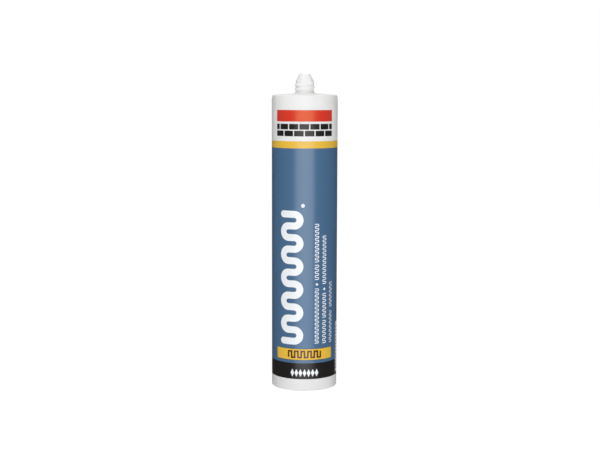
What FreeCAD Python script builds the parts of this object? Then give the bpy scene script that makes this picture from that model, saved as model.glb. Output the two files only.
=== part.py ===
"""A sealant cartridge, standing on its open base: moulded barrel, plunger and filling.

Millimetres, +Z up. The origin is the centre of the base ring, on the surface that the
cartridge stands on. The barrel is one moulding with its head, its threaded neck and the
closed tip that is cut off before use. The plunger sits in the bore, a little above the
base, and the sealant fills everything between it and the tip.
"""
import FreeCAD, Part
import math
import os

# Barrel wall and length
barrel_outer_diameter = 49.4
barrel_wall = 1.5
barrel_length = 220.0
base_edge_radius = 0.3

# Open mouth at the base, a little wider than the bore so that the plunger enters
mouth_relief = 0.45
mouth_depth = 12.0
mouth_cone_height = 1.5
mouth_chamfer = 0.2

# Head: a shallow cone with a bevelled rim
head_thickness = 1.8
head_rise = 1.5
head_bevel_height = 3.7
head_bevel_inset = 0.55
head_bevel_blend = 6.0
head_rim_radius = 0.6
head_inner_radius = 1.2

# Neck with its thread
neck_root_diameter = 13.4
neck_wall = 1.7
neck_length = 8.8
neck_fillet = 1.8
neck_inner_fillet = 0.8
thread_height = 0.8
thread_pitch = 3.0
thread_turns = 1.75
thread_root_width = 1.7
thread_crest_width = 0.7
thread_base_gap = 2.2
thread_bite = 0.4
thread_start_angle = 90.0

# Closed tip above the neck
tip_height = 5.4
tip_top_diameter = 7.4
tip_shoulder_radius = 4.0
tip_inner_shoulder_radius = 2.0
tip_edge_radius = 0.5
tip_wall = 1.3

# Plunger
plunger_recess = 17.2
plunger_height = 17.0
plunger_clearance = 0.08
plunger_lip_height = 2.4
plunger_waist_inset = 0.9
plunger_waist_slope = 1.0
plunger_skirt_wall = 1.3
plunger_crown_thickness = 1.6
plunger_edge_radius = 0.5
plunger_stop_gap = 1.8
rib_count = 6
rib_thickness = 1.1
rib_recess = 10.0
hub_outer_diameter = 13.0
hub_wall = 1.4

# Sealant, a hair clear of what holds it
sealant_gap = 0.05
crown_gap = 0.1

# Sizes that follow from those above
barrel_radius = barrel_outer_diameter / 2
bore_radius = barrel_radius - barrel_wall
mouth_radius = bore_radius + mouth_relief
head_rim_inset_radius = barrel_radius - head_bevel_inset
neck_radius = neck_root_diameter / 2
neck_bore_radius = neck_radius - neck_wall
neck_base_z = barrel_length + head_rise
tip_base_z = neck_base_z + neck_length
tip_top_z = tip_base_z + tip_height
tip_top_radius = tip_top_diameter / 2
head_slope = head_rise / (head_rim_inset_radius - neck_radius)
lip_radius = bore_radius - plunger_clearance
waist_radius = lip_radius - plunger_waist_inset
skirt_inner_radius = waist_radius - plunger_skirt_wall
plunger_front_z = plunger_recess + plunger_height
hub_outer_radius = hub_outer_diameter / 2

AXIS_Z = FreeCAD.Vector(0, 0, 1)
ORIGIN = FreeCAD.Vector(0, 0, 0)


def head_inner_z(radius):
    """Height of the head's inner face at a radius."""
    return barrel_length - head_thickness + head_slope * (head_rim_inset_radius - radius)


def crown_z(radius):
    """Height of the plunger's front face at a radius, parallel to the head outside the neck's bore."""
    return plunger_front_z + head_slope * (lip_radius - max(radius, neck_bore_radius))


def plunger_stroke():
    """Travel of the plunger from where it sits in a full cartridge to just under the head."""
    return head_inner_z(lip_radius) - plunger_stop_gap - plunger_front_z


def outline(corners):
    """Closed wire in the XZ plane through corners (radius, z, corner radius)."""
    points = [FreeCAD.Vector(r, 0, z) for r, z, _ in corners]
    starts, ends, edges = [], [], []
    for i, (_, _, fillet) in enumerate(corners):
        here = points[i]
        to_last = (points[i - 1] - here).normalize()
        to_next = (points[(i + 1) % len(points)] - here).normalize()
        if fillet == 0:
            starts.append(here)
            ends.append(here)
            continue
        half_angle = to_last.getAngle(to_next) / 2
        setback = fillet / math.tan(half_angle)
        bisector = (to_last + to_next).normalize()
        centre = here + bisector * (fillet / math.sin(half_angle))
        starts.append(here + to_last * setback)
        ends.append(here + to_next * setback)
        edges.append(Part.Arc(starts[i], centre - bisector * fillet, ends[i]).toShape())
    for i in range(len(corners)):
        following = (i + 1) % len(corners)
        if ends[i].distanceToPoint(starts[following]) > 1e-6:
            edges.append(Part.makeLine(ends[i], starts[following]))
    return Part.Wire(Part.__sortEdges__(edges))


def turned(corners):
    """Solid of revolution about Z from an outline."""
    return Part.Face(outline(corners)).revolve(ORIGIN, AXIS_Z, 360)


def thread():
    """Helical ridge of the neck, with its foot sunk into the neck's wall."""
    foot_radius = neck_radius - thread_bite
    crest_radius = neck_radius + thread_height
    first_z = neck_base_z + thread_base_gap
    path = Part.makeHelix(thread_pitch, thread_turns * thread_pitch, neck_radius)
    path.translate(FreeCAD.Vector(0, 0, first_z))
    profile = Part.makePolygon(
        [
            FreeCAD.Vector(foot_radius, 0, first_z - thread_root_width / 2),
            FreeCAD.Vector(crest_radius, 0, first_z - thread_crest_width / 2),
            FreeCAD.Vector(crest_radius, 0, first_z + thread_crest_width / 2),
            FreeCAD.Vector(foot_radius, 0, first_z + thread_root_width / 2),
            FreeCAD.Vector(foot_radius, 0, first_z - thread_root_width / 2),
        ]
    )
    ridge = Part.Wire(path.Edges).makePipeShell([profile], True, True)
    ridge.rotate(ORIGIN, AXIS_Z, thread_start_angle)
    return ridge


def barrel_skin():
    """Outside of the barrel, head, neck and tip, as a full solid."""
    return turned(
        [
            (0, 0, 0),
            (barrel_radius, 0, base_edge_radius),
            (barrel_radius, barrel_length - head_bevel_height, head_bevel_blend),
            (head_rim_inset_radius, barrel_length, head_rim_radius),
            (neck_radius, neck_base_z, neck_fillet),
            (neck_radius, tip_base_z, tip_shoulder_radius),
            (tip_top_radius, tip_top_z, tip_edge_radius),
            (0, tip_top_z, 0),
        ]
    )


def cavity(inset, floor_corners):
    """The space inside the barrel, taken in by inset, above the corners of its floor."""
    wall_radius = bore_radius - inset
    neck_inside_radius = neck_bore_radius - inset
    tip_inside_z = tip_top_z - tip_wall - inset
    return turned(
        floor_corners
        + [
            (wall_radius, head_inner_z(bore_radius) - inset, head_inner_radius),
            (neck_inside_radius, head_inner_z(neck_bore_radius) - inset, neck_inner_fillet),
            (neck_inside_radius, tip_base_z - inset, tip_inner_shoulder_radius),
            (tip_top_radius - tip_wall - inset, tip_inside_z, tip_edge_radius),
            (0, tip_inside_z, 0),
        ]
    )


def barrel():
    """Barrel, head, threaded neck and closed tip, in one moulding."""
    inside = cavity(
        0,
        [
            (0, 0, 0),
            (mouth_radius + mouth_chamfer, 0, 0),
            (mouth_radius, mouth_chamfer, 0),
            (mouth_radius, mouth_depth, 0),
            (bore_radius, mouth_depth + mouth_cone_height, 0),
        ],
    )
    return barrel_skin().fuse(thread()).cut(inside).removeSplitter()


def plunger():
    """Cup with a sealing lip at each end, a coned crown, and a ribbed hub inside."""
    rear_z = plunger_recess
    rear_lip_z = rear_z + plunger_lip_height
    front_lip_z = plunger_front_z - plunger_lip_height
    body = turned(
        [
            (0, rear_z, 0),
            (lip_radius, rear_z, plunger_edge_radius),
            (lip_radius, rear_lip_z, 0),
            (waist_radius, rear_lip_z + plunger_waist_slope, 0),
            (waist_radius, front_lip_z - plunger_waist_slope, 0),
            (lip_radius, front_lip_z, 0),
            (lip_radius, plunger_front_z, plunger_edge_radius),
            (neck_bore_radius, crown_z(neck_bore_radius), 0),
            (0, crown_z(0), 0),
        ]
    )
    ceiling_z = crown_z(skirt_inner_radius) - plunger_crown_thickness
    centre_ceiling_z = crown_z(0) - plunger_crown_thickness
    hollow = turned(
        [
            (0, rear_z, 0),
            (skirt_inner_radius, rear_z, 0),
            (skirt_inner_radius, ceiling_z, plunger_edge_radius),
            (neck_bore_radius, centre_ceiling_z, 0),
            (0, centre_ceiling_z, 0),
        ]
    )
    stiffener = hub_and_ribs().common(hollow)
    return body.cut(hollow).fuse(stiffener).removeSplitter()


def hub_and_ribs():
    """Tube and radial ribs that back the crown, before they are trimmed to the hollow."""
    foot_z = plunger_recess + rib_recess
    depth = crown_z(0) - foot_z
    foot_centre = FreeCAD.Vector(0, 0, foot_z)
    hub = Part.makeCylinder(hub_outer_radius, depth, foot_centre)
    well = Part.makeCylinder(hub_outer_radius - hub_wall, depth, foot_centre)
    rib_start = hub_outer_radius - hub_wall / 2
    rib_corner = FreeCAD.Vector(rib_start, -rib_thickness / 2, foot_z)
    ribs = []
    for i in range(rib_count):
        rib = Part.makeBox(lip_radius - rib_start, rib_thickness, depth, rib_corner)
        rib.rotate(ORIGIN, AXIS_Z, 360 * i / rib_count)
        ribs.append(rib)
    return hub.cut(well).fuse(ribs)


def sealant():
    """The filling, from the plunger's crown up into the closed tip."""
    floor_radius = bore_radius - sealant_gap
    return cavity(
        sealant_gap,
        [
            (0, crown_z(0) + crown_gap, 0),
            (neck_bore_radius, crown_z(neck_bore_radius) + crown_gap, 0),
            (floor_radius, crown_z(floor_radius) + crown_gap, 0),
        ],
    )


def main():
    os.makedirs("parts", exist_ok=True)
    nodes = {"barrel": barrel(), "plunger": plunger(), "sealant": sealant()}
    for name, shape in nodes.items():
        shape.exportStep(f"parts/{name}.step")
        box = shape.BoundBox
        print(
            f"{name}: {len(shape.Solids)} solid, valid {shape.isValid()}, "
            f"{shape.Volume / 1000:.2f} ml, z {box.ZMin:.2f} to {box.ZMax:.2f}, "
            f"{len(shape.Faces)} faces"
        )
    print(f"plunger stroke {plunger_stroke():.2f}, head inner z {head_inner_z(lip_radius):.2f}")


main()
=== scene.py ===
"""Looks of the sealant cartridge: barrel, print, plunger and filling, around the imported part."""
import math
import random

import bmesh
import bpy
from mathutils import Matrix, Quaternion, Vector


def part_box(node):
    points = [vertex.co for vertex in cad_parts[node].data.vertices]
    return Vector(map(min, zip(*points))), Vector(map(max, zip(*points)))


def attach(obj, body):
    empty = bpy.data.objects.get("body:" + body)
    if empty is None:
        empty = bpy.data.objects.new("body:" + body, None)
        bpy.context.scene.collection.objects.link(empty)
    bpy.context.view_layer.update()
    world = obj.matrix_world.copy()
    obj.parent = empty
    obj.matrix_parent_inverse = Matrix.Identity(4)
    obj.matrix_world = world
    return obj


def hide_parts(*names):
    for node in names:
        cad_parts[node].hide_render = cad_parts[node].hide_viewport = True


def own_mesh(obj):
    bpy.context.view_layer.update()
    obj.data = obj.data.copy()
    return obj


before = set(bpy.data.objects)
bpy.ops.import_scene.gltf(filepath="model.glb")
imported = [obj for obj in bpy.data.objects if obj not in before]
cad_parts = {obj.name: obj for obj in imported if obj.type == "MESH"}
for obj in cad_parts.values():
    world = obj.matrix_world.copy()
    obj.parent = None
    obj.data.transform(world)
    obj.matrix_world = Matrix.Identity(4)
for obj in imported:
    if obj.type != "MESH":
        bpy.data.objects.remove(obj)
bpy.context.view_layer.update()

MM = 0.001

# Barrel, as in the part: radii and heights from the base ring
_, BARREL_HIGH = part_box("barrel")
BARREL_RADIUS = BARREL_HIGH.x
TIP_TOP_Z = BARREL_HIGH.z
WALL_TOP_Z = 220.0 * MM
BARREL_WALL = 1.5 * MM
BORE_RADIUS = BARREL_RADIUS - BARREL_WALL
MOUTH_RELIEF = 0.45 * MM
MOUTH_RADIUS = BORE_RADIUS + MOUTH_RELIEF
MOUTH_DEPTH = 12.0 * MM
MOUTH_CONE = 1.5 * MM
MOUTH_CHAMFER = 0.2 * MM
BASE_EDGE = 0.3 * MM
BEVEL_HEIGHT = 3.7 * MM
BEVEL_INSET = 0.55 * MM
BEVEL_BLEND = 6.0 * MM
RIM_EDGE = 0.6 * MM
HEAD_RISE = 1.5 * MM
HEAD_WALL = 1.8 * MM
HEAD_INNER_EDGE = 1.2 * MM
NECK_RADIUS = 6.7 * MM
NECK_BORE = 5.0 * MM
NECK_LENGTH = 8.8 * MM
NECK_BASE_Z = WALL_TOP_Z + HEAD_RISE
NECK_TOP_Z = NECK_BASE_Z + NECK_LENGTH
NECK_FILLET = 1.8 * MM
NECK_INNER_FILLET = 0.8 * MM
TIP_RADIUS = 3.7 * MM
TIP_WALL = 1.3 * MM
TIP_SHOULDER = 4.0 * MM
TIP_INNER_SHOULDER = 2.0 * MM
TIP_EDGE = 0.5 * MM
HEAD_SLOPE = HEAD_RISE / (BARREL_RADIUS - BEVEL_INSET - NECK_RADIUS)

# Thread on the neck: half widths at its root and crest, and the share of a turn in which it runs out
THREAD_PITCH = 3.0 * MM
THREAD_TURNS = 1.75
THREAD_HEIGHT = 0.8 * MM
THREAD_ROOT = 0.85 * MM
THREAD_CREST = 0.3 * MM
THREAD_BASE_GAP = 2.2 * MM
THREAD_BASE_Z = NECK_BASE_Z + THREAD_BASE_GAP
THREAD_START = math.pi / 2
THREAD_RUNOUT = 0.13

# Mould's marks on the neck and tip: parting lines, and the gate's round pit with a low stub in it
PARTING_HEIGHT = 0.05 * MM
PARTING_WIDTH = 0.16 * MM
GATE_RADIUS = 1.3 * MM
GATE_DEPTH = 0.25 * MM
GATE_FLOOR_RADIUS = 1.17 * MM
GATE_STUB_RADIUS = 0.52 * MM
GATE_STUB_TOP_RADIUS = 0.39 * MM
GATE_STUB_DEPTH = 0.05 * MM
GATE_RIM_EDGE = 0.1 * MM
GATE_FLOOR_EDGE = 0.08 * MM
GATE_STUB_EDGE = 0.05 * MM

# Plunger, as in the part, with the marks of its mould's ejector pins
PLUNGER_LOW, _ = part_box("plunger")
PLUNGER_CLEARANCE = 0.08 * MM
PLUNGER_HEIGHT = 17.0 * MM
PLUNGER_RADIUS = BORE_RADIUS - PLUNGER_CLEARANCE
PLUNGER_FRONT_Z = PLUNGER_LOW.z + PLUNGER_HEIGHT
LIP_HEIGHT = 2.4 * MM
LIP_EDGE = 0.5 * MM
LIP_INNER_EDGE = 0.15 * MM
WAIST_INSET = 0.9 * MM
WAIST_SLOPE = 1.0 * MM
WAIST_EDGE = 0.4 * MM
SKIRT_WALL = 1.3 * MM
SKIRT_EDGE = 0.25 * MM
CROWN_WALL = 1.6 * MM
CROWN_EDGE = 1.0 * MM
CEILING_EDGE = 0.5 * MM
RIB_COUNT = 6
RIB_THICKNESS = 1.1 * MM
RIB_RECESS = 10.0 * MM
RIB_BITE = 0.5 * MM
HUB_RADIUS = 6.5 * MM
HUB_WALL = 1.4 * MM
HUB_COVER = 0.9 * MM
FOOT_EDGE = 0.3 * MM
PIN_CIRCLE = 13.5 * MM
PIN_RADIUS = 1.6 * MM
PIN_RELIEF = 0.2 * MM

# Sealant: its gaps to the barrel, to the crown, under the head and between its two pieces
SEALANT_GAP = 0.05 * MM
CROWN_GAP = 0.1 * MM
COLUMN_TOP_GAP = 0.06 * MM
PIECE_GAP = 0.02 * MM

# Fineness of the meshes: segments round Z, and the longest edge up the neck, from a little below it
# to a little above
SEGMENTS = 288
CUP_SEGMENTS = 192
INNER_SEGMENTS = 96
PIN_SEGMENTS = 24
FINE_EDGE = 0.14 * MM
FINE_BELOW = 0.2 * MM
FINE_ABOVE = 1.5 * MM

# Limits: how far out of its bore the neck's outside starts, the radius under which a point is on the
# axis, and the angle from which an edge is sharp
NECK_SKIN = 0.4 * MM
ON_AXIS = 1e-9
SHARP_ANGLE = math.radians(35)

# Ink's shells: each layer a hair above the last, all inside the barrel's radius and rooted in its skin
INK_STEP = 0.01 * MM
INK_ROOT = 0.02 * MM
INK_ROOM = 0.045 * MM
SKIN_RADIUS = BARREL_RADIUS - INK_ROOM

# Ink's flat shapes: the angle of the columns that they are cut at, how near points are taken as one,
# and how fine their round parts and sharp their mitres are
COLUMN = 2 * math.pi / SEGMENTS
MERGE_GAP = 0.001 * MM
CUT_GAP = 0.0001 * MM
DISC_SIDES = 20
CAP_STEPS = 8
LEAST_MITRE = 0.2

# Layout of the print: areas are (left, right, low, high), in degrees from the middle of its front
# and millimetres up, and the other sizes are in millimetres
BACK_GAP = 1.4
BLACK_LOW, BLUE_LOW, YELLOW_LOW, YELLOW_HIGH = 8.9, 21.05, 181.35, 186.5
RED_AREA = (-57.4, 52.5, 200.85, 209.2)
BRICK_AREA = (-57.2, 52.3, 190.15, 199.15)
COURSES = 2
BRICKS = 6
BRICK_JOINT = 0.9
BEAD_AREA = (-46.5, -3.4, 35.05, 135.4)
BEAD_PITCH = 8.6
BEAD_HALF_WIDTH = 2.6
BEAD_STEPS = 14
BEAD_DOT = (-4.5, 139.25, 1.4)
PLATE_EDGE_AREA = (-56.7, 53.8, 23.35, 32.0)
PLATE_AREA = (-56.1, 53.2, 23.6, 31.75)
KEY_AREA = (-29.8, 27.6, 25.45, 30.05)
KEY_STEMS = 11
KEY_HALF_WIDTH = 0.62
DIAMOND_AREA = (-26.3, 24.1, 10.65, 16.65)
DIAMONDS = 7
DIAMOND_GAP = 0.24
PANEL_AREA = (70, 176, 10.85, 49.75)

# Columns of small waves: left, right, half width of the stroke, runs from low to high, height of the dot
SMALL_PITCH = 1.5
SMALL_STEPS = 5
SMALL_DOT_RADIUS = 0.95
SMALL_COLUMNS = (
    (16.6, 24.6, 0.3, ((35.85, 77.45), (83.85, 95.2), (97.0, 125.7)), 80.45),
    (31.4, 39.4, 0.3, ((35.55, 53.05), (54.95, 73.55), (80.45, 116.65)), 76.65),
    (46.9, 54.1, 0.26, ((35.65, 59.4), (62.7, 81.35)), None),
)

# Dashes on the panel, in millimetres up and degrees round; a short row fills its first column only
DASH_SEED = 7
DASH_ROWS = 13
DASH_SHORT_ROWS = (4, 9)
DASH_LOW = 13.1
DASH_PITCH = 2.65
DASH_HEIGHT = 1.05
DASH_COLUMNS = ((73, 121), (126, 174))
DASH_WIDTHS = (4, 15)
DASH_GAP = 2.2
DASH_STOP = 3

# Plastic: how far its tone and gloss vary, the depth of its drag lines and grain, and its soft glow
PLASTIC_TONES = (0.985, 1.01)
PLASTIC_GLOSS = (-0.05, 0.06)
DRAG_DEPTH = 0.004 * MM
GRAIN_DEPTH = 0.006 * MM
GLOW_WEIGHT = 0.5
GLOW_COLOR = (1.0, 0.95, 0.9)
GLOW_REACH = 2.0 * MM

# Ink: how far its tone and gloss vary, the share of fine mottling in its tone, and its grain's depth
INK_TONES = (0.98, 1.02)
INK_GLOSS = (-0.02, 0.03)
MOTTLE_SHARE = 0.6
MOTTLE_START, MOTTLE_STOP = 0.5, 1.1
PEEL_DEPTH = 0.002 * MM

# Camera, fitted to the photo: angles in degrees, and lens and sensor in millimetres
CAMERA_TURN = -1.5
CAMERA_ROLL = 0.112
CAMERA_ASIDE = -3.38 * MM
CAMERA_DISTANCE = 893.0 * MM
CAMERA_Z = 224.0 * MM
CAMERA_AIM_Z = 116.54 * MM
LENS = 71.21
SENSOR = 36

# Studio: strength of the world's light on the object, and its tone in gloss to the left and right.
# Both change with how far back or sideways a direction points.
WORLD_LIGHT = 0.08
WORLD_BACK_LIGHT = 0.21
BACK_START, BACK_STOP = 0.1, 0.8
WORLD_SIDE_TONE = 0.08
SIDE_START, SIDE_STOP = 0.05, 0.15
FLOOR_HALF = 3.0
FLOOR_TONE = 0.7
FLOOR_ROUGHNESS = 0.9
FLOOR_GLOW = 1.12
FLOOR_GLOW_SHARE = 0.9


def srgb(red, green, blue):
    """Linear colour of an sRGB one given from 0 to 255."""
    linear = []
    for value in (red, green, blue):
        share = value / 255
        linear.append(share / 12.92 if share <= 0.04045 else ((share + 0.055) / 1.055) ** 2.4)
    return (*linear, 1.0)


def shade(color, share):
    """The colour made lighter or darker by a share."""
    return (*[min(1.0, value * share) for value in color[:3]], 1.0)


def placed(name, data):
    """A new object of some data, linked to the scene."""
    obj = bpy.data.objects.new(name, data)
    bpy.context.scene.collection.objects.link(obj)
    return obj


def add_node(tree, kind, inputs, **settings):
    """A new node with its settings, and its inputs set to values or linked to other nodes' outputs."""
    node = tree.nodes.new(kind)
    for name, value in settings.items():
        setattr(node, name, value)
    for name, value in inputs.items():
        if isinstance(value, bpy.types.NodeSocket):
            tree.links.new(value, node.inputs[name])
        else:
            node.inputs[name].default_value = value
    return node


def math_node(tree, operation, *values):
    """Result of a math operation on numbers or other nodes' outputs."""
    return add_node(tree, "ShaderNodeMath", dict(enumerate(values)), operation=operation).outputs[0]


def ramp_node(tree, factor, low, high, start=0.0, stop=1.0):
    """A number that runs from low to high as factor runs from start to stop."""
    inputs = {"Value": factor, "To Min": low, "To Max": high, "From Min": start, "From Max": stop}
    return add_node(tree, "ShaderNodeMapRange", inputs).outputs["Result"]


class Material:
    """A node material under construction, with its principled shader and object coordinates."""

    def __init__(self, name, roughness, specular, chalk):
        self.made = bpy.data.materials.new(name)
        self.made.use_nodes = True
        self.tree = self.made.node_tree
        self.shader = self.tree.nodes["Principled BSDF"]
        self.shader.inputs["Roughness"].default_value = roughness
        self.shader.inputs["Specular IOR Level"].default_value = specular
        self.shader.inputs["Diffuse Roughness"].default_value = chalk
        self.place = self.tree.nodes.new("ShaderNodeTexCoord").outputs["Object"]

    def noise(self, scale, detail, stretch=(1, 1, 1)):
        """Noise in object space; scale is in features to the metre."""
        mapping = add_node(self.tree, "ShaderNodeMapping", {"Vector": self.place, "Scale": stretch})
        inputs = {"Vector": mapping.outputs["Vector"], "Scale": scale, "Detail": detail}
        return add_node(self.tree, "ShaderNodeTexNoise", inputs).outputs["Fac"]

    def between(self, factor, low, high, start=0.3, stop=0.7):
        """A number that runs from low to high over the middle of a noise."""
        return ramp_node(self.tree, factor, low, high, start, stop)

    def tint(self, factor, low, high):
        """A colour that runs from low to high with factor."""
        inputs = {"Factor": factor, "A": low, "B": high}
        return add_node(self.tree, "ShaderNodeMix", inputs, data_type="RGBA").outputs["Result"]

    def bump(self, height, distance, under=None):
        """Bump from a height, on top of an earlier bump."""
        inputs = {"Height": height, "Distance": distance}
        if under is not None:
            inputs["Normal"] = under
        return add_node(self.tree, "ShaderNodeBump", inputs).outputs["Normal"]

    def finish(self, color, roughness, normal):
        """Links what varies over the surface to the shader, and gives the material."""
        for name, output in (("Base Color", color), ("Roughness", roughness), ("Normal", normal)):
            self.tree.links.new(output, self.shader.inputs[name])
        return self.made


def moulded_plastic(name, color, gloss=0.4):
    """Pale plastic or paste: fine grain, faint drag lines along the barrel, soft gloss."""
    m = Material(name, gloss, specular=0.12, chalk=0.55)
    clouds = m.noise(scale=60, detail=3, stretch=(1, 1, 0.5))
    drag = m.noise(scale=700, detail=3, stretch=(1, 1, 0.02))
    grain = m.noise(scale=3200, detail=2)
    tone = m.tint(m.between(clouds, 0, 1), *[shade(color, share) for share in PLASTIC_TONES])
    roughness = m.between(drag, *[gloss + change for change in PLASTIC_GLOSS])
    normal = m.bump(grain, GRAIN_DEPTH, under=m.bump(drag, DRAG_DEPTH))
    m.shader.inputs["Subsurface Weight"].default_value = GLOW_WEIGHT
    m.shader.inputs["Subsurface Radius"].default_value = GLOW_COLOR
    m.shader.inputs["Subsurface Scale"].default_value = GLOW_REACH
    return m.finish(tone, roughness, normal)


def ink(name, color, gloss=0.3, specular=0.4, sheen_color=(1, 1, 1, 1)):
    """Screen ink under varnish: slight mottling, a fine grain and a soft gloss."""
    m = Material(name, gloss, specular, chalk=0.2)
    m.shader.inputs["Specular Tint"].default_value = sheen_color
    mottle = m.noise(scale=420, detail=4, stretch=(1, 1, 0.6))
    drift = m.noise(scale=35, detail=2, stretch=(1, 1, 0.4))
    peel = m.noise(scale=1500, detail=2)
    both = math_node(m.tree, "MULTIPLY_ADD", mottle, MOTTLE_SHARE, drift)
    factor = m.between(both, 0, 1, MOTTLE_START, MOTTLE_STOP)
    tone = m.tint(factor, *[shade(color, share) for share in INK_TONES])
    roughness = m.between(drift, *[gloss + change for change in INK_GLOSS])
    return m.finish(tone, roughness, m.bump(peel, PEEL_DEPTH))


def rounded(corners, steps=6):
    """Points (r, z) along corners (r, z, fillet), with each fillet as an arc in steps."""
    points = []
    for i, (r, z, fillet) in enumerate(corners):
        here = Vector((r, z))
        if fillet == 0 or i in (0, len(corners) - 1):
            points.append(here)
            continue
        back = (Vector(corners[i - 1][:2]) - here).normalized()
        ahead = (Vector(corners[i + 1][:2]) - here).normalized()
        half = back.angle(ahead) / 2
        bisector = (back + ahead).normalized()
        centre = here + bisector * (fillet / math.sin(half))
        first = here + back * (fillet / math.tan(half)) - centre
        last = here + ahead * (fillet / math.tan(half)) - centre
        sweep = first.angle_signed(last)
        for k in range(steps + 1):
            turn = Matrix.Rotation(-sweep * k / steps, 2)
            points.append(centre + turn @ first)
    return points


def split_long(points, low_z, high_z, longest):
    """The same line with more points where it runs between two heights."""
    dense = [points[0]]
    for last, point in zip(points, points[1:]):
        inside = low_z <= min(last.y, point.y) and max(last.y, point.y) <= high_z
        parts = max(1, math.ceil((point - last).length / longest)) if inside else 1
        for k in range(1, parts + 1):
            dense.append(last.lerp(point, k / parts))
    return dense


def lathe(bm, points, segments, reach=None):
    """Turns a line (r, z) about Z into bm. It ends on the axis, or closes on itself.

    A reach is a function that gives the final radius of a point from its radius, height and angle.
    """
    rings = []
    for point in points:
        if point.x < ON_AXIS:
            rings.append([bm.verts.new((0, 0, point.y))])
            continue
        ring = []
        for k in range(segments):
            angle = 2 * math.pi * k / segments
            radius = reach(point.x, point.y, angle) if reach else point.x
            ring.append(bm.verts.new((radius * math.cos(angle), radius * math.sin(angle), point.y)))
        rings.append(ring)
    pairs = list(zip(rings, rings[1:]))
    if len(rings[0]) > 1:
        pairs.append((rings[-1], rings[0]))
    for low, high in pairs:
        for k in range(segments):
            lower = [low[i % len(low)] for i in (k, k + 1)]
            upper = [high[i % len(high)] for i in (k + 1, k)]
            bm.faces.new(list(dict.fromkeys(lower + upper)))


def make_object(name, bm, material):
    """Finishes bm as an object at the origin, smooth apart from its sharp edges."""
    bmesh.ops.recalc_face_normals(bm, faces=bm.faces)
    for face in bm.faces:
        face.smooth = True
    for edge in bm.edges:
        edge.smooth = edge.calc_face_angle(0) < SHARP_ANGLE
    mesh = bpy.data.meshes.new(name)
    bm.to_mesh(mesh)
    bm.free()
    mesh.materials.append(material)
    return placed(name, mesh)


def turned(name, points, segments, material, reach=None):
    """Object of a line (r, z) turned about Z."""
    bm = bmesh.new()
    lathe(bm, points, segments, reach)
    return make_object(name, bm, material)


def head_inner_z(radius):
    """Height of the head's inner face at a radius."""
    rim = BARREL_RADIUS - BEVEL_INSET
    return WALL_TOP_Z - HEAD_WALL + HEAD_SLOPE * (rim - radius)


def crown_z(radius):
    """Height of the coned front face of the plunger's crown at a radius."""
    return PLUNGER_FRONT_Z + HEAD_SLOPE * (PLUNGER_RADIUS - radius)


def smooth_step(share):
    """A share from 0 to 1, eased at both ends."""
    share = min(1.0, max(0.0, share))
    return share * share * (3 - 2 * share)


def thread_reach(z, angle):
    """How far the thread stands out of the neck at a height and an angle."""
    most = 0.0
    turns = ((angle - THREAD_START) / (2 * math.pi)) % 1.0
    while turns <= THREAD_TURNS:
        offset = abs(z - THREAD_BASE_Z - turns * THREAD_PITCH)
        flank = (THREAD_ROOT - offset) / (THREAD_ROOT - THREAD_CREST)
        runout = min(turns, THREAD_TURNS - turns) / THREAD_RUNOUT
        most = max(most, THREAD_HEIGHT * smooth_step(flank) * smooth_step(runout))
        turns += 1.0
    return most


def barrel_reach(radius, z, angle):
    """Radius of the barrel's wall, with the thread and parting lines on the neck's outside."""
    skin = NECK_SKIN if z < NECK_TOP_Z else 0
    if z <= NECK_BASE_Z or radius <= NECK_BORE + skin:
        return radius
    parting_gap = abs(math.sin(angle)) * radius
    parting = PARTING_HEIGHT * math.exp(-((parting_gap / PARTING_WIDTH) ** 2))
    thread = thread_reach(z, angle)
    if thread > 0:
        radius = max(radius, NECK_RADIUS + thread)
    return radius + parting


def build_barrel(material):
    """Barrel, head, threaded neck and closed tip as one closed mesh."""
    pit_z = TIP_TOP_Z - GATE_DEPTH
    stub_z = TIP_TOP_Z - GATE_STUB_DEPTH
    outside = rounded(
        [
            (MOUTH_RADIUS + MOUTH_CHAMFER, 0, 0),
            (SKIN_RADIUS, 0, BASE_EDGE),
            (SKIN_RADIUS, WALL_TOP_Z - BEVEL_HEIGHT, BEVEL_BLEND),
            (SKIN_RADIUS - BEVEL_INSET, WALL_TOP_Z, RIM_EDGE),
            (NECK_RADIUS, NECK_BASE_Z, NECK_FILLET),
            (NECK_RADIUS, NECK_TOP_Z, TIP_SHOULDER),
            (TIP_RADIUS, TIP_TOP_Z, TIP_EDGE),
            (GATE_RADIUS, TIP_TOP_Z, GATE_RIM_EDGE),
            (GATE_FLOOR_RADIUS, pit_z, GATE_FLOOR_EDGE),
            (GATE_STUB_RADIUS, pit_z, GATE_FLOOR_EDGE),
            (GATE_STUB_TOP_RADIUS, stub_z, GATE_STUB_EDGE),
            (0, stub_z, 0),
        ]
    )
    outside = split_long(outside, NECK_BASE_Z - FINE_BELOW, NECK_TOP_Z + FINE_ABOVE, FINE_EDGE)
    inside = rounded(
        [
            (0, TIP_TOP_Z - TIP_WALL, 0),
            (TIP_RADIUS - TIP_WALL, TIP_TOP_Z - TIP_WALL, TIP_EDGE),
            (NECK_BORE, NECK_TOP_Z, TIP_INNER_SHOULDER),
            (NECK_BORE, head_inner_z(NECK_BORE), NECK_INNER_FILLET),
            (BORE_RADIUS, head_inner_z(BORE_RADIUS), HEAD_INNER_EDGE),
            (BORE_RADIUS, MOUTH_DEPTH + MOUTH_CONE, 0),
            (MOUTH_RADIUS, MOUTH_DEPTH, 0),
            (MOUTH_RADIUS, MOUTH_CHAMFER, 0),
        ],
        steps=4,
    )
    path = outside[::-1] + inside[::-1]
    return turned("barrel_moulding", path, SEGMENTS, material, barrel_reach)


def arc(angle):
    """Arc length on the barrel's skin of an angle in degrees from the middle of the print's front."""
    return math.radians(angle) * SKIN_RADIUS


def area(left, right, low, high):
    """Edges in metres, on the flat print, of an area in degrees and millimetres up."""
    return arc(left), arc(right), low * MM, high * MM


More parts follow.
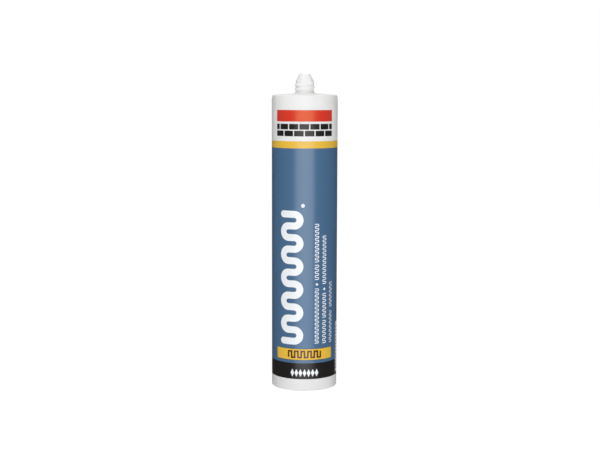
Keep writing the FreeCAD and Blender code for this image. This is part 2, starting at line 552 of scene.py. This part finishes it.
def box(left, right, low, high):
    """Flat rectangle, in metres."""
    return [(left, low), (right, low), (right, high), (left, high)]


def block(left, right, low, high):
    """Flat rectangle, in degrees from the front and millimetres up."""
    return box(*area(left, right, low, high))


def band(low, high):
    """Flat strip round the barrel, in millimetres up, with the print's narrow gap at the back."""
    return [block(-180 + BACK_GAP / 2, 180 - BACK_GAP / 2, low, high)]


def disc(angle, height, radius):
    """Flat disc, in degrees from the front and millimetres."""
    s, z = arc(angle), height * MM
    turns = [2 * math.pi / DISC_SIDES * k for k in range(DISC_SIDES)]
    return [(s + radius * MM * math.cos(turn), z + radius * MM * math.sin(turn)) for turn in turns]


def stroke(line, half_width, round_ends=True):
    """Flat quads along a line of (s, z) points, mitred at its corners."""
    points = [Vector(p) for p in line]
    lefts, rights = [], []
    for i, point in enumerate(points):
        back = (point - points[i - 1]).normalized() if i else None
        ahead = (points[i + 1] - point).normalized() if i + 1 < len(points) else back
        back = back or ahead
        along = (back + ahead).normalized()
        across = Vector((-along.y, along.x)) * (half_width / max(LEAST_MITRE, along.dot(ahead)))
        lefts.append(point + across)
        rights.append(point - across)
    quads = []
    for i in range(len(points) - 1):
        quads.append([rights[i], rights[i + 1], lefts[i + 1], lefts[i]])
    if round_ends:
        quads.append(end_cap(points[0], rights[0], lefts[0]))
        quads.append(end_cap(points[-1], lefts[-1], rights[-1]))
    return [[tuple(p) for p in quad] for quad in quads]


def end_cap(centre, start, stop):
    """Half disc that rounds off the end of a stroke, from start to stop, turning clockwise."""
    first = start - centre
    cap = [stop]
    for k in range(CAP_STEPS - 1, 0, -1):
        cap.append(centre + Matrix.Rotation(-math.pi * k / CAP_STEPS, 2) @ first)
    return cap + [start]


def wave(left, right, low, high, pitch, half_width, steps):
    """Line of a bead that runs back and forth across from left to right while it climbs."""
    climb = high - low - 2 * half_width
    count = max(2, round(climb / pitch) + 1)
    rise = climb / (count - 1)
    radius = rise / 2
    near, far = left + half_width + radius, right - half_width - radius
    line = []
    for i in range(count):
        side = 1 if i % 2 == 0 else -1
        start, stop = (near, far) if side > 0 else (far, near)
        z = low + half_width + i * rise
        line.append((start - radius if i == 0 else start, z))
        if i == count - 1:
            line.append((stop + side * radius, z))
            break
        line.append((stop, z))
        for k in range(1, steps):
            turn = math.pi * k / steps
            line.append((stop + side * radius * math.sin(turn), z + radius * (1 - math.cos(turn))))
    return line


def bead():
    """The large wavy bead on the blue field, with a dot above its end."""
    half_width = BEAD_HALF_WIDTH * MM
    line = wave(*area(*BEAD_AREA), BEAD_PITCH * MM, half_width, BEAD_STEPS)
    return stroke(line, half_width) + [disc(*BEAD_DOT)]


def small_waves():
    """Columns of small waves beside the bead, some with a dot between two runs."""
    shapes = []
    for left, right, half_width, runs, dot_height in SMALL_COLUMNS:
        for low, high in runs:
            edges = area(left, right, low, high)
            line = wave(*edges, SMALL_PITCH * MM, half_width * MM, SMALL_STEPS)
            shapes += stroke(line, half_width * MM)
        if dot_height:
            shapes.append(disc((left + right) / 2, dot_height, SMALL_DOT_RADIUS))
    return shapes


def brickwork(left, right, low, high):
    """Courses of bricks with a half brick at each end of every second course."""
    joint = BRICK_JOINT * MM
    width = (right - left - (BRICKS - 1) * joint) / BRICKS
    height = (high - low - (COURSES - 1) * joint) / COURSES
    shapes = []
    for course in range(COURSES):
        base = low + course * (height + joint)
        start = left - (width + joint) / 2 * (course % 2)
        for k in range(BRICKS + course % 2):
            brick_left = max(left, start + k * (width + joint))
            brick_right = min(right, start + k * (width + joint) + width)
            shapes.append(box(brick_left, brick_right, base, base + height))
    return shapes


def key_pattern(left, right, low, high):
    """Square wave that runs across the yellow plate."""
    line = []
    for k in range(KEY_STEMS):
        s = left + k * (right - left) / (KEY_STEMS - 1)
        line += [(s, low), (s, high)] if k % 2 == 0 else [(s, high), (s, low)]
    return stroke(line, KEY_HALF_WIDTH * MM, round_ends=False)


def diamond_row(left, right, low, high):
    """Row of upright diamonds."""
    middle = (low + high) / 2
    pitch = (right - left) / DIAMONDS
    half_width = (pitch - DIAMOND_GAP * MM) / 2
    row = []
    for k in range(DIAMONDS):
        s = left + (k + 0.5) * pitch
        row.append([(s - half_width, middle), (s, low), (s + half_width, middle), (s, high)])
    return row


def dashes():
    """Rows of dashes of uneven width, in two columns."""
    draw = random.Random(DASH_SEED)
    shapes = []
    for row in range(DASH_ROWS):
        low = DASH_LOW + row * DASH_PITCH
        for start, stop in DASH_COLUMNS:
            angle = start
            while angle < stop - DASH_STOP:
                width = min(draw.uniform(*DASH_WIDTHS), stop - angle)
                shapes.append(block(angle, angle + width, low, low + DASH_HEIGHT))
                angle += width + DASH_GAP
            if row in DASH_SHORT_ROWS:
                break
    return shapes


def bent(flat, radius):
    """Place on the barrel of a flat point; arc length 0 faces -Y and grows towards +X."""
    angle = flat.x / SKIN_RADIUS
    return (radius * math.sin(angle), -radius * math.cos(angle), flat.y)


def cut_at_columns(bm):
    """Cuts a flat mesh along the barrel's columns, so that it bends where the barrel does."""
    reach = [v.co.x for v in bm.verts]
    first = math.ceil(min(reach) / SKIN_RADIUS / COLUMN)
    last = math.floor(max(reach) / SKIN_RADIUS / COLUMN)
    for k in range(first, last + 1):
        everything = bm.verts[:] + bm.edges[:] + bm.faces[:]
        cut = Vector((k * COLUMN * SKIN_RADIUS, 0, 0))
        bmesh.ops.bisect_plane(bm, geom=everything, plane_co=cut, plane_no=(1, 0, 0), dist=CUT_GAP)


def set_round_normals(mesh, top_faces):
    """Makes the first faces of a mesh shade as round as the barrel, and the others flat."""
    mesh.polygons.foreach_set("use_smooth", [True] * len(mesh.polygons))
    normals = []
    for polygon in mesh.polygons:
        for i in polygon.vertices:
            x, y, _ = mesh.vertices[i].co
            radial = Vector((x, y, 0)).normalized()
            normals.append(radial if polygon.index < top_faces else polygon.normal.copy())
    mesh.normals_split_custom_set(normals)


def wrap(name, material, layer, shapes):
    """Thin closed shells of ink on the barrel, from flat shapes of (arc length, height) points."""
    bm = bmesh.new()
    for shape in shapes:
        bm.faces.new([bm.verts.new((s, z, 0)) for s, z in shape])
    bmesh.ops.remove_doubles(bm, verts=bm.verts, dist=MERGE_GAP)
    cut_at_columns(bm)
    bm.normal_update()
    bmesh.ops.reverse_faces(bm, faces=[face for face in bm.faces if face.normal.z < 0])
    bm.verts.index_update()
    radii = (SKIN_RADIUS + layer * INK_STEP, SKIN_RADIUS - INK_ROOT)
    places = [bent(v.co, radius) for radius in radii for v in bm.verts]
    count = len(bm.verts)
    top = [[v.index for v in face.verts] for face in bm.faces]
    underside = [[i + count for i in reversed(face)] for face in top]
    sides = []
    for face in bm.faces:
        for loop in face.loops:
            if loop.edge.is_boundary:
                a, b = loop.vert.index, loop.link_loop_next.vert.index
                sides.append([b, a, a + count, b + count])
    bm.free()
    mesh = bpy.data.meshes.new(name)
    mesh.from_pydata(places, [], top + underside + sides)
    mesh.materials.append(material)
    set_round_normals(mesh, len(top))
    return placed(name, mesh)


def build_print():
    """Every ink field and shape on the barrel, as pieces by colour, each with its layer of ink."""
    blue = ink("ink_blue", srgb(76, 111, 146))
    yellow = ink("ink_yellow", srgb(238, 194, 68), sheen_color=(0.53, 0.64, 0.8, 1))
    red = ink("ink_red", srgb(221, 60, 46), sheen_color=(0.82, 0.9, 0.4, 1))
    black = ink("ink_black", srgb(35, 33, 32), gloss=0.32, specular=0.25)
    white = ink("ink_white", srgb(244, 247, 250), gloss=0.34, specular=0.3)
    brown = ink("ink_brown", srgb(74, 34, 8))
    rule = ink("ink_plate_edge", srgb(70, 74, 60))
    pieces = (
        ("print_black_band", black, 1, band(BLACK_LOW, BLUE_LOW)),
        ("print_blue_field", blue, 1, band(BLUE_LOW, YELLOW_LOW)),
        ("print_yellow_band", yellow, 1, band(YELLOW_LOW, YELLOW_HIGH)),
        ("print_red_bar", red, 1, [block(*RED_AREA)]),
        ("print_brickwork", black, 1, brickwork(*area(*BRICK_AREA))),
        ("print_bead", white, 2, bead()),
        ("print_text_waves", white, 2, small_waves()),
        ("print_plate_edge", rule, 2, [block(*PLATE_EDGE_AREA)]),
        ("print_yellow_plate", yellow, 3, [block(*PLATE_AREA)]),
        ("print_brown_key", brown, 4, key_pattern(*area(*KEY_AREA))),
        ("print_diamonds", white, 2, diamond_row(*area(*DIAMOND_AREA))),
        ("print_panel", white, 2, [block(*PANEL_AREA)]),
        ("print_panel_lines", black, 3, dashes()),
    )
    for name, material, layer, shapes in pieces:
        piece = wrap(name, material, layer, shapes)
        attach(piece, "barrel")


def build_plunger(material):
    """Plunger cup with its lips, hub, ribs and ejector marks, as one closed mesh."""
    low = PLUNGER_LOW.z
    front = PLUNGER_FRONT_Z
    waist = PLUNGER_RADIUS - WAIST_INSET
    hollow = waist - SKIRT_WALL
    slope_end = LIP_HEIGHT + WAIST_SLOPE
    crown = crown_z(NECK_BORE)
    ceiling = crown - CROWN_WALL
    outline = rounded(
        [
            (0, crown, 0),
            (NECK_BORE, crown, CROWN_EDGE),
            (PLUNGER_RADIUS, front, LIP_EDGE),
            (PLUNGER_RADIUS, front - LIP_HEIGHT, LIP_INNER_EDGE),
            (waist, front - slope_end, WAIST_EDGE),
            (waist, low + slope_end, WAIST_EDGE),
            (PLUNGER_RADIUS, low + LIP_HEIGHT, LIP_INNER_EDGE),
            (PLUNGER_RADIUS, low, LIP_EDGE),
            (hollow, low, SKIRT_EDGE),
            (hollow, crown_z(hollow) - CROWN_WALL, CEILING_EDGE),
            (NECK_BORE, ceiling, CEILING_EDGE),
            (0, ceiling, 0),
        ],
        steps=5,
    )
    cup = turned("plunger_moulding", outline, CUP_SEGMENTS, material)
    foot = low + RIB_RECESS
    pin_face = crown_z(PIN_CIRCLE) - CROWN_WALL - PIN_RELIEF
    parts = [hub(foot, crown - HUB_COVER, material)]
    for k in range(RIB_COUNT):
        turn = Matrix.Rotation(2 * math.pi * k / RIB_COUNT, 4, "Z")
        parts.append(rib(HUB_RADIUS - HUB_WALL / 2, hollow + RIB_BITE, foot, front, turn, material))
        pin_turn = turn @ Matrix.Rotation(math.pi / RIB_COUNT, 4, "Z")
        parts.append(ejector_mark(pin_face, front, pin_turn, material))
    return joined(cup, parts)


def hub(low, high, material):
    """Tube in the middle of the plunger, with a rounded foot. Its upper end is inside the crown."""
    inner = HUB_RADIUS - HUB_WALL
    corners = [
        (inner, high, 0),
        (inner, low, FOOT_EDGE),
        (HUB_RADIUS, low, FOOT_EDGE),
        (HUB_RADIUS, high, 0),
    ]
    return turned("hub", rounded(corners, steps=4), INNER_SEGMENTS, material)


def rib(inner, outer, low, high, turn, material):
    """Radial rib with a rounded foot. Its ends and top are inside the hub, skirt and crown."""
    bm = bmesh.new()
    bmesh.ops.create_cube(bm, size=1)
    size = Matrix.Diagonal((outer - inner, RIB_THICKNESS, high - low, 1))
    place = Matrix.Translation(((inner + outer) / 2, 0, (low + high) / 2))
    bmesh.ops.transform(bm, matrix=place @ size, verts=bm.verts)
    foot = [e for e in bm.edges if all(v.co.z < (low + high) / 2 for v in e.verts)]
    along = [e for e in foot if abs(e.verts[0].co.x - e.verts[1].co.x) > RIB_THICKNESS]
    bmesh.ops.bevel(bm, geom=along, offset=FOOT_EDGE, segments=3, profile=0.5, affect="EDGES")
    bmesh.ops.transform(bm, matrix=turn, verts=bm.verts)
    return make_object("rib", bm, material)


def ejector_mark(low, high, turn, material):
    """Round mark of an ejector pin, standing a little out of the plunger's ceiling."""
    bm = bmesh.new()
    place = turn @ Matrix.Translation((PIN_CIRCLE, 0, (low + high) / 2))
    size = {"radius1": PIN_RADIUS, "radius2": PIN_RADIUS, "depth": high - low}
    bmesh.ops.create_cone(bm, cap_ends=True, segments=PIN_SEGMENTS, matrix=place, **size)
    return make_object("pin", bm, material)


def joined(base, parts):
    """The base and parts as one closed mesh, in place of all of them."""
    for part in parts:
        union = base.modifiers.new("union", "BOOLEAN")
        union.operation = "UNION"
        union.solver = "EXACT"
        union.object = part
    whole = base.evaluated_get(bpy.context.evaluated_depsgraph_get())
    bm = bmesh.new()
    bm.from_mesh(whole.to_mesh())
    whole.to_mesh_clear()
    name = base.name
    material = base.data.materials[0]
    for obj in [base] + parts:
        bpy.data.objects.remove(obj)
    return make_object(name, bm, material)


def build_sealant(material):
    """Filling as two meshes: the column that shortens, and what stays under the head and in the neck."""
    radius = BORE_RADIUS - SEALANT_GAP
    rim_z = PLUNGER_FRONT_Z + CROWN_GAP
    floor_z = crown_z(NECK_BORE) + CROWN_GAP
    top_z = head_inner_z(BORE_RADIUS) - COLUMN_TOP_GAP
    corners = [(0, floor_z), (NECK_BORE, floor_z), (radius, rim_z), (radius, top_z), (0, top_z)]
    points = [Vector(corner) for corner in corners]
    column = turned("sealant_column", points, INNER_SEGMENTS, material)
    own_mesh(column)

    base_z = top_z + PIECE_GAP
    neck = NECK_BORE - SEALANT_GAP
    tip_z = TIP_TOP_Z - TIP_WALL - SEALANT_GAP
    profile = rounded(
        [
            (0, base_z, 0),
            (BORE_RADIUS - HEAD_INNER_EDGE, base_z, 0),
            (neck, head_inner_z(NECK_BORE) - SEALANT_GAP, NECK_INNER_FILLET),
            (neck, NECK_TOP_Z - SEALANT_GAP, TIP_INNER_SHOULDER),
            (TIP_RADIUS - TIP_WALL - SEALANT_GAP, tip_z, TIP_EDGE),
            (0, tip_z, 0),
        ]
    )
    return column, turned("sealant_in_neck", profile, INNER_SEGMENTS, material)


def aim(obj, target, roll=0.0):
    """Turns a camera or light to look at a target, with a roll about its own axis."""
    look = (Vector(target) - obj.location).to_track_quat("-Z", "Y")
    obj.rotation_euler = (look @ Quaternion((0, 0, 1), roll)).to_euler()


def add_camera():
    """Camera fitted to the photo: 7 degrees down, and a little to the left of the print's middle."""
    turn = Matrix.Rotation(math.radians(CAMERA_TURN), 3, "Z")
    camera = placed("camera", bpy.data.cameras.new("camera"))
    camera.data.sensor_width = SENSOR
    camera.data.lens = LENS
    camera.location = turn @ Vector((CAMERA_ASIDE, -CAMERA_DISTANCE, CAMERA_Z))
    aim(camera, turn @ Vector((CAMERA_ASIDE, 0, CAMERA_AIM_Z)), math.radians(CAMERA_ROLL))
    bpy.context.scene.camera = camera


def add_light(name, place, target, width, height, radiance):
    """Rectangular soft light, in metres, which the camera doesn't see itself."""
    light = placed(name, bpy.data.lights.new(name, "AREA"))
    light.data.shape = "RECTANGLE"
    light.data.size = width
    light.data.size_y = height
    light.data.energy = math.pi * width * height * radiance
    light.location = place
    light.visible_camera = False
    aim(light, target)
    return light


def mirrored(tree, rays):
    """1 for what gloss or glass shows, and 0 for the rest."""
    return math_node(tree, "MAXIMUM", rays["Is Glossy Ray"], rays["Is Transmission Ray"])


def add_world():
    """White background, also in gloss and through glass, with a dimmer soft light from it on the object.

    That light is stronger from behind. To the left and right the studio is darker in gloss too.
    """
    world = bpy.data.worlds.new("studio")
    world.use_nodes = True
    bpy.context.scene.world = world
    tree = world.node_tree
    rays = tree.nodes.new("ShaderNodeLightPath").outputs
    generated = tree.nodes.new("ShaderNodeTexCoord").outputs["Generated"]
    direction = add_node(tree, "ShaderNodeSeparateXYZ", {0: generated}).outputs
    sideways = math_node(tree, "ABSOLUTE", direction["X"])
    in_gloss = ramp_node(tree, sideways, 1.0, WORLD_SIDE_TONE, SIDE_START, SIDE_STOP)
    soft_light = ramp_node(tree, direction["Y"], WORLD_LIGHT, WORLD_BACK_LIGHT, BACK_START, BACK_STOP)
    on_object = ramp_node(tree, mirrored(tree, rays), soft_light, in_gloss)
    background = tree.nodes["Background"]
    background.inputs["Color"].default_value = (1, 1, 1, 1)
    strength = ramp_node(tree, rays["Is Camera Ray"], on_object, 1.0)
    tree.links.new(strength, background.inputs["Strength"])


def add_floor():
    """Pale floor that shows white and keeps a soft part of the shadow.

    Gloss shows the world in its place.
    """
    corners = [(x * FLOOR_HALF, y * FLOOR_HALF, 0) for x, y in ((-1, -1), (1, -1), (1, 1), (-1, 1))]
    mesh = bpy.data.meshes.new("floor")
    mesh.from_pydata(corners, [], [(0, 1, 2, 3)])
    floor = placed("floor", mesh)
    floor.visible_glossy = False
    material = bpy.data.materials.new("floor_paper")
    material.use_nodes = True
    mesh.materials.append(material)
    tree = material.node_tree
    paper = tree.nodes["Principled BSDF"]
    paper.inputs["Base Color"].default_value = (FLOOR_TONE, FLOOR_TONE, FLOOR_TONE, 1)
    paper.inputs["Roughness"].default_value = FLOOR_ROUGHNESS
    paper.inputs["Specular IOR Level"].default_value = 0.0
    rays = tree.nodes.new("ShaderNodeLightPath").outputs
    seen = math_node(tree, "MAXIMUM", rays["Is Camera Ray"], mirrored(tree, rays))
    share = math_node(tree, "MULTIPLY", seen, FLOOR_GLOW_SHARE)
    glow = add_node(tree, "ShaderNodeEmission", {"Strength": FLOOR_GLOW}).outputs[0]
    mix = add_node(tree, "ShaderNodeMixShader", {"Fac": share, 1: paper.outputs[0], 2: glow})
    tree.links.new(mix.outputs[0], tree.nodes["Material Output"].inputs["Surface"])


def add_lights():
    """Large soft light in front, one overhead, and a low fill that leaves no gloss."""
    add_light("front_softbox", (-0.02, -1.2, 0.05), (0, 0, 0.05), width=1.5, height=0.9, radiance=4.55)
    add_light("top_softbox", (-0.05, 0.03, 0.95), (0, 0, 0), width=0.9, height=0.9, radiance=1.95)
    fill = add_light("front_fill", (0, -0.45, 0.03), (0, 0, 0.03), width=0.5, height=0.1, radiance=2.0)
    fill.visible_glossy = False


def main():
    add_camera()
    add_world()
    add_floor()
    add_lights()
    bpy.context.scene.view_settings.view_transform = "Standard"

    polyethylene = moulded_plastic("white_polyethylene", srgb(243, 243, 242))
    barrel = build_barrel(polyethylene)
    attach(barrel, "barrel")
    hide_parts("barrel")

    build_print()

    natural = moulded_plastic("natural_polyethylene", srgb(228, 228, 222))
    plunger = build_plunger(natural)
    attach(plunger, "plunger")
    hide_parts("plunger")

    paste = moulded_plastic("sealant_paste", srgb(240, 238, 232), gloss=0.5)
    for piece in build_sealant(paste):
        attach(piece, "barrel")
        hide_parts("sealant")


main()
